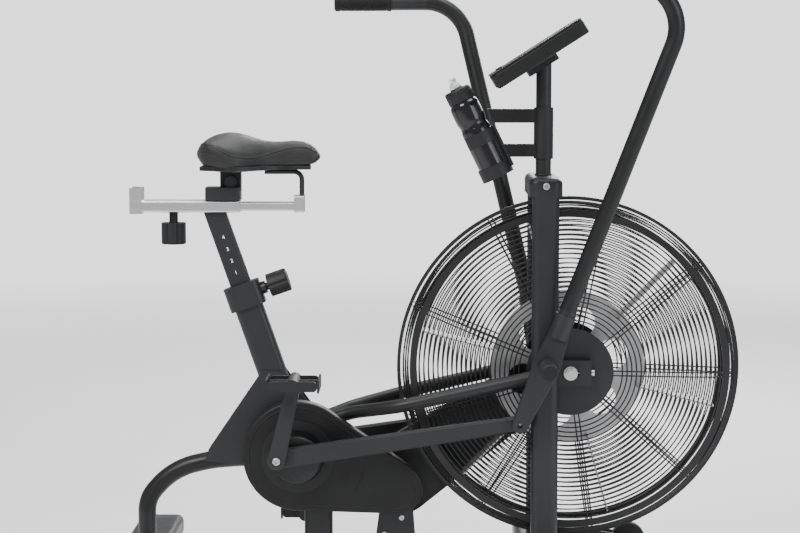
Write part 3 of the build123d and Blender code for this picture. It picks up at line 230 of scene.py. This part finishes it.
BLACK = (0.0042, 0.0044, 0.0050)
CHARCOAL = (0.0078, 0.0082, 0.0092)
looks = {
    "black_steel": powder_coat("black_steel_look", BLACK, CHARCOAL),
    "plated_steel": brushed_metal("plated_steel_look",
                                  (0.33, 0.33, 0.34), (0.6, 0.6, 0.6), (1, 1, 1), 0.35),
    "silver_rail": brushed_metal("silver_rail_look",
                                 (0.42, 0.42, 0.44), (0.74, 0.74, 0.75), (0.5, 60, 60), 0.3),
    "black_wire": powder_coat("black_wire_look",
                              (0.003, 0.003, 0.0034), (0.006, 0.006, 0.0068), 1400.0, 0.33),
    "black_plastic": moulded_plastic("black_plastic_look",
                                     (0.0038, 0.004, 0.0045), (0.0072, 0.0075, 0.0085)),
    "grey_plastic": moulded_plastic("grey_plastic_look", (0.02, 0.021, 0.022), (0.034, 0.035, 0.037)),
    "grip_rubber": soft_rubber("grip_rubber_look", (0.0045, 0.0045, 0.0048), (0.010, 0.010, 0.0108)),
    "wheel_rubber": soft_rubber("wheel_rubber_look", (0.007, 0.007, 0.0076), (0.022, 0.022, 0.023), 0.8),
    "saddle_cover": saddle_leather("saddle_cover_look",
                                   (0.0042, 0.0044, 0.005), (0.0085, 0.0088, 0.0098)),
    "fan_metal": brushed_metal("fan_metal_look", (0.3, 0.3, 0.31), (0.5, 0.5, 0.51), (1, 8, 1), 0.42),
    "chain_steel": brushed_metal("chain_steel_look",
                                 (0.07, 0.068, 0.065), (0.2, 0.19, 0.18), (2, 2, 2), 0.4),
    "screen_glass": screen_look("screen_glass_look"),
    "bottle_plastic": tinted_clear("bottle_plastic_look", (0.012, 0.012, 0.014), 0.12, 0.2),
}
clear_plastic = tinted_clear("clear_plastic_look", (0.86, 0.88, 0.9), 0.3, 0.45)
thread_look = soft_rubber("thread_look", (0.06, 0.06, 0.065), (0.1, 0.1, 0.105), 0.65)
mark_look = moulded_plastic("mark_look", (0.5, 0.5, 0.5), (0.68, 0.68, 0.68), 900.0, 0.6)
weld_look = powder_coat("weld_look", (0.0036, 0.0038, 0.0043), (0.008, 0.0084, 0.0092), 500.0, 0.36)

slot_of = {entry["node"]: entry["material_slot"] for entry in frame["record"]["subparts"]}
for name, node in nodes.items():
    node.data.materials.clear()
    node.data.materials.append(looks[slot_of[name]])


# ---- mesh helpers -------------------------------------------------------------------------------
def place(mesh_object, look, body, *replaced):
    mesh_object.data.materials.append(look)
    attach(mesh_object, body)
    if replaced:
        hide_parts(*replaced)
    return mesh_object


def new_object(name, mesh):
    made = bpy.data.objects.new(name, mesh)
    bpy.context.collection.objects.link(made)
    return made


def from_bmesh(name, bm, smooth=True):
    bmesh.ops.recalc_face_normals(bm, faces=bm.faces)
    mesh = bpy.data.meshes.new(name)
    bm.to_mesh(mesh)
    bm.free()
    for polygon in mesh.polygons:
        polygon.use_smooth = smooth
    return new_object(name, mesh)


def axes_for(direction):
    """Two directions square to an axis."""
    along = Vector(direction).normalized()
    side = along.cross(Vector((0, 1, 0)))
    if side.length < 0.1:
        side = along.cross(Vector((1, 0, 0)))
    side.normalize()
    return along, side, along.cross(side)


def skin(bm, rings, close_start=True, close_end=True):
    """Faces between rings of vertices, all of one length, with fan caps."""
    rows = [[bm.verts.new(point) for point in ring] for ring in rings]
    count = len(rows[0])
    for first, second in zip(rows, rows[1:]):
        for index in range(count):
            after = (index + 1) % count
            bm.faces.new((first[index], first[after], second[after], second[index]))
    for row, wanted in ((rows[0], close_start), (rows[-1], close_end)):
        if wanted:
            centre = bm.verts.new(sum((v.co for v in row), Vector()) / count)
            for index in range(count):
                bm.faces.new((row[index], row[(index + 1) % count], centre))
    return rows


def lathe(name, profile, origin, direction, segments=56):
    """Turn (along, radius) points about an axis."""
    along, side, up = axes_for(direction)
    origin = Vector(origin)
    bm = bmesh.new()
    rings = []
    for distance, radius in profile:
        ring = []
        for index in range(segments):
            angle = 2 * math.pi * index / segments
            ring.append(origin + along * distance +
                        (side * math.cos(angle) + up * math.sin(angle)) * radius)
        rings.append(ring)
    skin(bm, rings)
    return from_bmesh(name, bm)


def add_pipe(bm, points, radius, closed=False, segments=10, wobble=0.0):
    """Round bead along points, with an even section carried from point to point."""
    rings = []
    count = len(points)
    previous = None
    for index, point in enumerate(points):
        before = points[index - 1] if index or closed else points[index]
        after = points[(index + 1) % count] if index < count - 1 or closed else points[index]
        along = (Vector(after) - Vector(before)).normalized()
        if previous is None:
            _, side, _ = axes_for(along)
        else:
            side = (previous - along * previous.dot(along)).normalized()
        previous = side
        up = along.cross(side)
        size = radius * (1 + wobble * math.sin(index * 1.9))
        ring = [Vector(point) + (side * math.cos(a) + up * math.sin(a)) * size
                for a in (2 * math.pi * k / segments for k in range(segments))]
        rings.append(ring)
    if closed:
        rings.append(rings[0])
    skin(bm, rings, not closed, not closed)


def pipe(name, points, radius, closed=False, segments=10, wobble=0.0):
    bm = bmesh.new()
    add_pipe(bm, points, radius, closed, segments, wobble)
    bmesh.ops.remove_doubles(bm, verts=bm.verts, dist=1e-6)
    return from_bmesh(name, bm)


def subdivide(target, levels=1):
    modifier = target.modifiers.new("subdivision", "SUBSURF")
    modifier.levels = levels
    modifier.render_levels = levels
    apply_modifiers(target)


def apply_modifiers(target):
    graph = bpy.context.evaluated_depsgraph_get()
    mesh = bpy.data.meshes.new_from_object(target.evaluated_get(graph))
    target.modifiers.clear()
    old = target.data
    target.data = mesh
    bpy.data.meshes.remove(old)


def straight_table(table, value):
    for (x0, y0), (x1, y1) in zip(table, table[1:]):
        if value <= x1:
            return y0 + (y1 - y0) * max(0.0, (value - x0) / (x1 - x0))
    return table[-1][1]


def lerp_table(table, value):
    """Line through (position, height) pairs, rounded over a short reach."""
    reach = min(0.02, value, 1 - value)
    spots = (value - reach, value - reach / 2, value, value + reach / 2, value + reach)
    return sum(straight_table(table, spot) for spot in spots) / len(spots)


def corners(node):
    low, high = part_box(node)
    return Vector(low), Vector(high)


joints = {joint["name"]: joint for joint in frame["joints"]}


# ---- saddle -------------------------------------------------------------------------------------
saddle_low, saddle_high = corners("saddle_cushion")
saddle_length = saddle_high.x - saddle_low.x
saddle_half = (saddle_high.y - saddle_low.y) / 2
TOP_LINE = ((0.0, -42), (0.03, -27), (0.085, -14), (0.157, -5), (0.25, -0.5), (0.36, -3), (0.455, -11),
            (0.544, -18), (0.65, -21), (0.76, -20), (0.87, -20), (0.935, -26), (0.985, -38), (1.0, -50))
EDGE_LINE = ((0.0, -44), (0.03, -32), (0.08, -21), (0.17, -26), (0.31, -42), (0.47, -48), (0.625, -43),
             (0.76, -36), (0.88, -35), (0.955, -45), (1.0, -53))
BASE_LINE = ((0.0, -52), (0.065, -74), (0.14, -82), (0.36, -83), (0.56, -82), (0.76, -78), (0.883, -74),
             (0.97, -66), (1.0, -56))


def saddle_half_width(share):
    tail = math.sqrt(max(0.0, 1 - (1 - min(share, 0.24) / 0.24) ** 2))
    blend = 1 / (1 + math.exp((share - 0.47) * 13))
    nose = math.sqrt(max(0.0, 1 - max(0.0, (share - 0.86) / 0.14) ** 2))
    width = 0.0235 + (saddle_half - 0.0235) * blend
    return width * (0.28 + 0.72 * tail) * (0.3 + 0.7 * nose)


def saddle_ring(share, shrink=0.0):
    """One cross-section: crown, padded shoulder, side panel and flat underside."""
    x = saddle_low.x + saddle_length * (0.004 + 0.992 * share)
    half = saddle_half_width(share) - shrink
    top = saddle_high.z + lerp_table(TOP_LINE, share) * MM - shrink
    edge = saddle_high.z + lerp_table(EDGE_LINE, share) * MM
    base = saddle_high.z + lerp_table(BASE_LINE, share) * MM + shrink
    dip = 0.006 * math.exp(-((share - 0.42) / 0.22) ** 2)
    shape = []
    for k in range(9):
        across = k / 8
        drop = (top - edge) * (across ** 2.6)
        shape.append((half * across * 0.97, top - drop - dip * math.exp(-(across / 0.3) ** 2)))
    shape.append((half * 1.0, edge - (edge - base) * 0.18))
    shape.append((half * 0.985, edge - (edge - base) * 0.42))
    shape.append((half * 0.965, edge - (edge - base) * 0.72))
    shape.append((half * 0.91, base + 0.003))
    shape.append((half * 0.7, base))
    shape.append((half * 0.3, base + 0.001))
    right = [Vector((x, -y, z)) for y, z in shape]
    left = [Vector((x, y, z)) for y, z in reversed(shape[1:])]
    return right + [Vector((x, 0, base + 0.001))] + left


def swell(target, cap):
    """Pressurise the closed form as cloth for a moment, and limit how far any point may move."""
    remesh = target.modifiers.new("remesh", "REMESH")
    remesh.mode = "VOXEL"
    remesh.voxel_size = 0.0045
    apply_modifiers(target)
    start = [vertex.co.copy() for vertex in target.data.vertices]
    cloth = target.modifiers.new("cloth", "CLOTH")
    cloth.settings.use_pressure = True
    cloth.settings.uniform_pressure_force = 4.0
    cloth.settings.effector_weights.gravity = 0.0
    cloth.settings.tension_stiffness = 25
    cloth.settings.bending_stiffness = 3
    scene = bpy.context.scene
    for number in range(1, 21):
        scene.frame_set(number)
    graph = bpy.context.evaluated_depsgraph_get()
    moved = [vertex.co.copy() for vertex in target.evaluated_get(graph).data.vertices]
    target.modifiers.remove(cloth)
    for vertex, first, last in zip(target.data.vertices, start, moved):
        step = last - first
        if step.length > cap:
            step *= cap / step.length
        vertex.co = first + step
    scene.frame_set(1)


def make_saddle():
    bm = bmesh.new()
    steps = 44
    skin(bm, [saddle_ring(0.5 - 0.5 * math.cos(math.pi * k / steps), 0.0022) for k in range(steps + 1)])
    cushion = from_bmesh("saddle_cushion_skin", bm)
    swell(cushion, 0.0022)
    smooth = cushion.modifiers.new("relax", "SMOOTH")
    smooth.iterations = 6
    apply_modifiers(cushion)
    subdivide(cushion)
    for polygon in cushion.data.polygons:
        polygon.use_smooth = True
    place(cushion, looks["saddle_cover"], "saddle", "saddle_cushion")
    return cushion


def on_saddle_side(cushion, share, drop, side, lift):
    """Point on the cover's side at a share of its length, found by a ray from outside."""
    ring = saddle_ring(share)
    x = ring[0].x
    z = saddle_high.z + (lerp_table(EDGE_LINE, share) + drop) * MM
    start = Vector((x, side * 0.2, z))
    hit, where, normal, _ = cushion.ray_cast(start, Vector((0, -side, 0)))
    if not hit:
        return None
    return where + normal * lift


def make_saddle_seams(cushion):
    for side, word in ((-1, "right"), (1, "left")):
        for drop, radius, name in ((2.0, 0.0011, "upper"), (-19.0, 0.0009, "lower")):
            points = []
            for k in range(70):
                share = 0.05 + 0.9 * k / 69
                fall = drop - 6 * math.sin(math.pi * share) if drop < 0 else drop - 9 * math.sin(
                    math.pi * min(1.0, share * 1.5))
                point = on_saddle_side(cushion, share, fall, side, radius * 0.25)
                if point is not None:
                    points.append(point)
            seam = pipe("saddle_%s_%s_piping" % (word, name), points, radius)
            place(seam, looks["saddle_cover"], "saddle")
        bm = bmesh.new()
        for k in range(64):
            share = 0.07 + 0.86 * k / 63
            fall = -3.4 - 9 * math.sin(math.pi * min(1.0, share * 1.5))
            first = on_saddle_side(cushion, share, fall, side, 0.0003)
            last = on_saddle_side(cushion, share + 0.008, fall, side, 0.0003)
            if first is None or last is None:
                continue
            add_stitch(bm, first, last)
        stitches = from_bmesh("saddle_%s_stitching" % word, bm)
        place(stitches, thread_look, "saddle")


def add_stitch(bm, first, last, radius=0.00045):
    along, side, up = axes_for(last - first)
    rings = []
    for share, size in ((0.0, 0.4), (0.25, 1.0), (0.75, 1.0), (1.0, 0.4)):
        centre = first.lerp(last, share)
        rings.append([centre + (side * math.cos(a) + up * math.sin(a)) * radius * size
                      for a in (2 * math.pi * n / 6 for n in range(6))])
    skin(bm, rings)


cushion = make_saddle()
make_saddle_seams(cushion)


# ---- grips --------------------------------------------------------------------------------------
GRIP_SPAN = 0.122


def grip_direction(side_word):
    """Outward direction of the grip. It points back, and up by how far the handle is pushed."""
    low, high = joints[side_word + "_handle_swing"]["range_deg"]
    swing = math.radians(high if side_word == "right" else 0.0)
    return Vector((-math.cos(swing), 0, math.sin(swing)))


def make_grip(side_word):
    """Ribbed rubber sleeve with a domed end, along the straight end of the handlebar."""
    low, high = corners(side_word + "_grip")
    lean = grip_direction(side_word)
    radius = (high.y - low.y) / 2
    middle = (low + high) / 2
    length = GRIP_SPAN
    origin = middle - lean * length / 2
    profile = [(0.0, radius * 0.86), (0.001, radius * 0.98), (0.0035, radius), (0.0075, radius),
               (0.009, radius * 0.93)]
    ribs = 24
    start, end = 0.012, length - 0.014
    for k in range(ribs):
        base = start + (end - start) * k / ribs
        pitch = (end - start) / ribs
        profile += [(base, radius * 0.925), (base + pitch * 0.2, radius * 0.975),
                    (base + pitch * 0.6, radius * 0.975), (base + pitch * 0.8, radius * 0.925)]
    profile += [(length - 0.012, radius * 0.93), (length - 0.0105, radius), (length - 0.004, radius),
                (length - 0.0015, radius * 0.93), (length, radius * 0.74)]
    grip = lathe(side_word + "_grip_rubber", profile, origin, lean)
    place(grip, looks["grip_rubber"], side_word + "_handle", side_word + "_grip")


for word in ("right", "left"):
    make_grip(word)


# ---- fan cage -----------------------------------------------------------------------------------
FAN = Vector((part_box("right_cage_grille")[0][0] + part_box("right_cage_grille")[1][0], 0, 0)) / 2
FAN.z = (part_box("right_cage_grille")[0][2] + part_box("right_cage_grille")[1][2]) / 2
WIRE = 0.0015
INNER_RING = 0.325
HUB_COVER = 0.088
RING_MID = 0.318
RIM_INSIDE = 0.343
RING_DEPTH = {"right": -0.048, "left": 0.034}
HUB_DEPTH = {"right": -0.082, "left": 0.040}
RING_COUNT = 22
BAND_WIRES = 3


def dome(radius, word):
    hub, ring = HUB_DEPTH[word], RING_DEPTH[word]
    share = (radius ** 2 - HUB_COVER ** 2) / (RING_MID ** 2 - HUB_COVER ** 2)
    return hub + (ring - hub) * share


def circle_points(radius, y, count=128):
    turns = (2 * math.pi * k / count for k in range(count))
    return [FAN + Vector((radius * math.cos(a), y, radius * math.sin(a))) for a in turns]


def spoke_point(radius, angle, y, offset):
    x = radius * math.cos(angle) - offset * math.sin(angle)
    z = radius * math.sin(angle) + offset * math.cos(angle)
    return FAN + Vector((x, y, z))


def make_grille(word):
    """Round rings and paired spokes of welded wire behind the flat ring of the guard."""
    side = -1 if word == "right" else 1
    ring_y = RING_DEPTH[word]
    bm = bmesh.new()
    for index in range(RING_COUNT):
        radius = INNER_RING - 0.019 - index * 0.0096
        add_pipe(bm, circle_points(radius, dome(radius, word)), WIRE, True, 8)
    for index in range(1, BAND_WIRES + 1):
        share = index / (BAND_WIRES + 1)
        y = ring_y + (side * 0.006 - ring_y) * share + side * 0.0024
        add_pipe(bm, circle_points(INNER_RING + (RIM_INSIDE - INNER_RING) * share, y), WIRE, True, 8)
    for index in range(9):
        angle = math.radians(78 + index * 40)
        for offset in (-0.0045, 0.0045):
            radii = [HUB_COVER - 0.006 + (RING_MID - HUB_COVER + 0.004) * k / 12 for k in range(13)]
            arc = [spoke_point(r, angle, dome(r, word) - side * 0.0028, offset) for r in radii]
            add_pipe(bm, arc, WIRE, False, 8)
            band = [spoke_point(INNER_RING - 0.004, angle, ring_y - side * 0.0028, offset),
                    spoke_point(RIM_INSIDE - 0.001, angle, side * 0.002, offset)]
            add_pipe(bm, band, WIRE, False, 8)
    low, high = ring_y, ring_y - side * 0.003
    rows = [(INNER_RING - 0.014, low), (INNER_RING, low), (INNER_RING, high), (INNER_RING - 0.014, high)]
    rows.append(rows[0])
    skin(bm, [circle_points(radius, y, 160) for radius, y in rows], False, False)
    bmesh.ops.remove_doubles(bm, verts=bm.verts, dist=1e-6)
    grille = from_bmesh(word + "_grille_wires", bm)
    edges = grille.modifiers.new("edges", "EDGE_SPLIT")
    edges.split_angle = math.radians(50)
    apply_modifiers(grille)
    place(grille, looks["black_wire"], "frame", word + "_cage_grille")


for word in ("right", "left"):
    make_grille(word)


# ---- bottle -------------------------------------------------------------------------------------
BOTTLE_FOOT = (0.142, 0, 0.850)
BOTTLE_LEAN = math.radians(26)


def make_bottle():
    """Blow-moulded dark bottle, ribbed screw cap and clear push nozzle."""
    up = Vector((-math.sin(BOTTLE_LEAN), 0, math.cos(BOTTLE_LEAN)))
    body = [(0.0, 0.024), (0.0004, 0.0285), (0.003, 0.0308), (0.1, 0.0308), (0.106, 0.0302),
            (0.110, 0.0284), (0.114, 0.0280), (0.118, 0.0284), (0.123, 0.0302), (0.129, 0.0308),
            (0.154, 0.0308), (0.160, 0.0298), (0.165, 0.0268), (0.168, 0.0250)]
    piece = lathe("bottle_shell", body, BOTTLE_FOOT, up, 64)
    subdivide(piece)
    place(piece, looks["bottle_plastic"], "bottle", "water_bottle")
    cap = [(0.166, 0.0262), (0.1685, 0.0278), (0.190, 0.0278), (0.1925, 0.0268), (0.194, 0.024),
           (0.1942, 0.0135), (0.1965, 0.0125), (0.1968, 0.006)]
    piece = lathe("bottle_cap", cap, BOTTLE_FOOT, up, 72)
    for vertex in piece.data.vertices:
        along = (vertex.co - Vector(BOTTLE_FOOT)).dot(up)
        if 0.168 < along < 0.1915:
            centre = Vector(BOTTLE_FOOT) + up * along
            away = vertex.co - centre
            if vertex.index % 3 == 0:
                vertex.co = centre + away * 0.972
    place(piece, looks["black_plastic"], "bottle", "water_bottle")
    nozzle = [(0.1945, 0.0115), (0.197, 0.0125), (0.205, 0.0112), (0.2065, 0.0078), (0.213, 0.0072),
              (0.2145, 0.0088), (0.2172, 0.0086), (0.218, 0.0068), (0.2176, 0.002)]
    piece = lathe("bottle_nozzle", nozzle, BOTTLE_FOOT, up, 48)
    place(piece, clear_plastic, "bottle", "water_bottle")


make_bottle()


# ---- small work ---------------------------------------------------------------------------------
def make_weld(name, centre, direction, radius, bead, body="frame"):
    """Ring of rippled weld where a round part is joined."""
    along, side, up = axes_for(direction)
    turns = [2 * math.pi * k / 140 for k in range(140)]
    points = [Vector(centre) + (side * math.cos(a) + up * math.sin(a)) * radius for a in turns]
    place(pipe(name, points, bead, True, 8, 0.16), weld_look, body)


make_weld("mast_weld", (0.234, 0, 0.8512), (0, 0, 1), 0.0158, 0.0022)

JACKSHAFT = Vector((-0.063, 0, 0.217))
CRANK = Vector((-0.264, 0, 0.283))
GUARD_REAR = 0.112
GUARD_FRONT = 0.052
RIB_INSET = 0.012


def guard_line(rear_radius, front_radius, y, count=70):
    """Closed line round two circles and their outer tangents."""
    step = JACKSHAFT - CRANK
    heading = math.atan2(step.z, step.x)
    touch = math.acos((rear_radius - front_radius) / step.length)
    points = []
    for k in range(count):
        angle = heading + touch + (2 * math.pi - 2 * touch) * k / (count - 1)
        points.append(CRANK + Vector((rear_radius * math.cos(angle), y, rear_radius * math.sin(angle))))
    for k in range(count):
        angle = heading - touch + 2 * touch * k / (count - 1)
        spot = Vector((front_radius * math.cos(angle), y, front_radius * math.sin(angle)))
        points.append(JACKSHAFT + spot)
    return points


def make_guard_ribs():
    """Raised lines moulded into the outer face of the right guard."""
    guard_low, _ = corners("right_chain_guard")
    face = guard_low.y + 0.0025
    line = guard_line(GUARD_REAR - RIB_INSET, GUARD_FRONT - RIB_INSET, face)
    outer = pipe("right_guard_rib", line, 0.0011, True, 8)
    place(outer, looks["black_plastic"], "frame")
    turns = [math.radians(-42 + 50 * k / 40) for k in range(41)]
    bow = [CRANK + Vector((0.118 * math.cos(a) + 0.02, face, 0.118 * math.sin(a))) for a in turns]
    arc = pipe("right_guard_bow", bow, 0.0009, False, 8)
    place(arc, looks["black_plastic"], "frame")


make_guard_ribs()

SEAT_LEAN = math.radians(19.3)


def make_numerals():
    """Printed height numbers up the right face of the seat post."""
    post_low, post_high = corners("seat_post")
    sleeve_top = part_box("seat_post_sleeve")[1][2]
    for index in range(7):
        height = sleeve_top + 0.016 + index * 0.024
        if height > post_high.z - 0.05:
            break
        curve = bpy.data.curves.new("numeral", "FONT")
        curve.body = str(index + 1)
        curve.size = 0.011
        curve.extrude = 0.00012
        curve.align_x = "CENTER"
        curve.align_y = "CENTER"
        shape = new_object("numeral_curve", curve)
        mesh = bpy.data.meshes.new_from_object(shape)
        bpy.data.objects.remove(shape)
        x = CRANK.x - (height - CRANK.z) * math.tan(SEAT_LEAN)
        turn = Matrix.Rotation(-SEAT_LEAN, 4, "Y") @ Matrix.Rotation(math.pi / 2, 4, "X")
        mesh.transform(Matrix.Translation((x, post_low.y - 0.0001, height)) @ turn)
        mark = new_object("seat_post_numeral_%d" % (index + 1), mesh)
        place(mark, mark_look, "seat_post")


make_numerals()


# ---- stage, light and camera --------------------------------------------------------------------
def floor_look():
    look = Look("floor_look")
    clouds = look.noise(1.4, 4.0)
    look.colour(look.mix(look.spread(clouds, 0.3, 0.7, 0.0, 1.0), (0.86, 0.86, 0.865), (0.9, 0.9, 0.9)))
    look.rough(look.spread(look.noise(6.0), 0.3, 0.7, 0.5, 0.62))
    look.bump(look.noise(90.0), 0.03, 0.001)
    distance = look.add("ShaderNodeVectorMath", operation="LENGTH")
    look.link(look.place, distance.inputs[0])
    fade = look.spread(distance.outputs["Value"], 1.6, 6.5, 1.0, 0.0)
    look.link(fade, look.shader.inputs["Alpha"])
    return look.material


bm = bmesh.new()
bmesh.ops.create_grid(bm, x_segments=4, y_segments=4, size=60)
floor = from_bmesh("floor", bm)
floor.data.materials.append(floor_look())


def area_light(name, place_at, target, width, height, power, colour=(1, 1, 1)):
    data = bpy.data.lights.new(name, "AREA")
    data.shape = "RECTANGLE"
    data.size = width
    data.size_y = height
    data.energy = power
    data.color = colour
    lamp = bpy.data.objects.new(name, data)
    bpy.context.collection.objects.link(lamp)
    lamp.location = place_at
    lamp.rotation_euler = (Vector(target) - Vector(place_at)).to_track_quat("-Z", "Y").to_euler()


AIM = (0, 0, 0.65)
area_light("key", (-2.2, -3.0, 3.4), AIM, 2.0, 1.6, 185, (1.0, 0.985, 0.96))
area_light("fill", (3.2, -2.6, 1.7), AIM, 2.2, 2.2, 70, (0.96, 0.98, 1.0))
area_light("top", (0.2, 0.3, 3.6), AIM, 3.0, 1.6, 110)
area_light("rim", (1.2, 3.2, 2.4), AIM, 2.6, 1.4, 130)

world = bpy.data.worlds.new("studio")
bpy.context.scene.world = world
world.use_nodes = True
world_tree = world.node_tree
backdrop = world_tree.nodes["Background"]
backdrop.inputs["Color"].default_value = (0.97, 0.975, 0.98, 1)
ray = world_tree.nodes.new("ShaderNodeLightPath")
strength = world_tree.nodes.new("ShaderNodeMapRange")
strength.inputs["To Min"].default_value = 0.5
strength.inputs["To Max"].default_value = 2.0
world_tree.links.new(ray.outputs["Is Camera Ray"], strength.inputs["Value"])
world_tree.links.new(strength.outputs["Result"], backdrop.inputs["Strength"])

lens = bpy.data.cameras.new("photo_camera")
lens.sensor_width = 36
lens.lens = 94.95
lens.dof.use_dof = False
camera = bpy.data.objects.new("photo_camera", lens)
bpy.context.collection.objects.link(camera)
camera.location = (0.003, -4.300, 1.077)
camera.rotation_euler = Vector((-0.0140716, 0.9952967, -0.0958458)).to_track_quat("-Z", "Y").to_euler()
bpy.context.scene.camera = camera
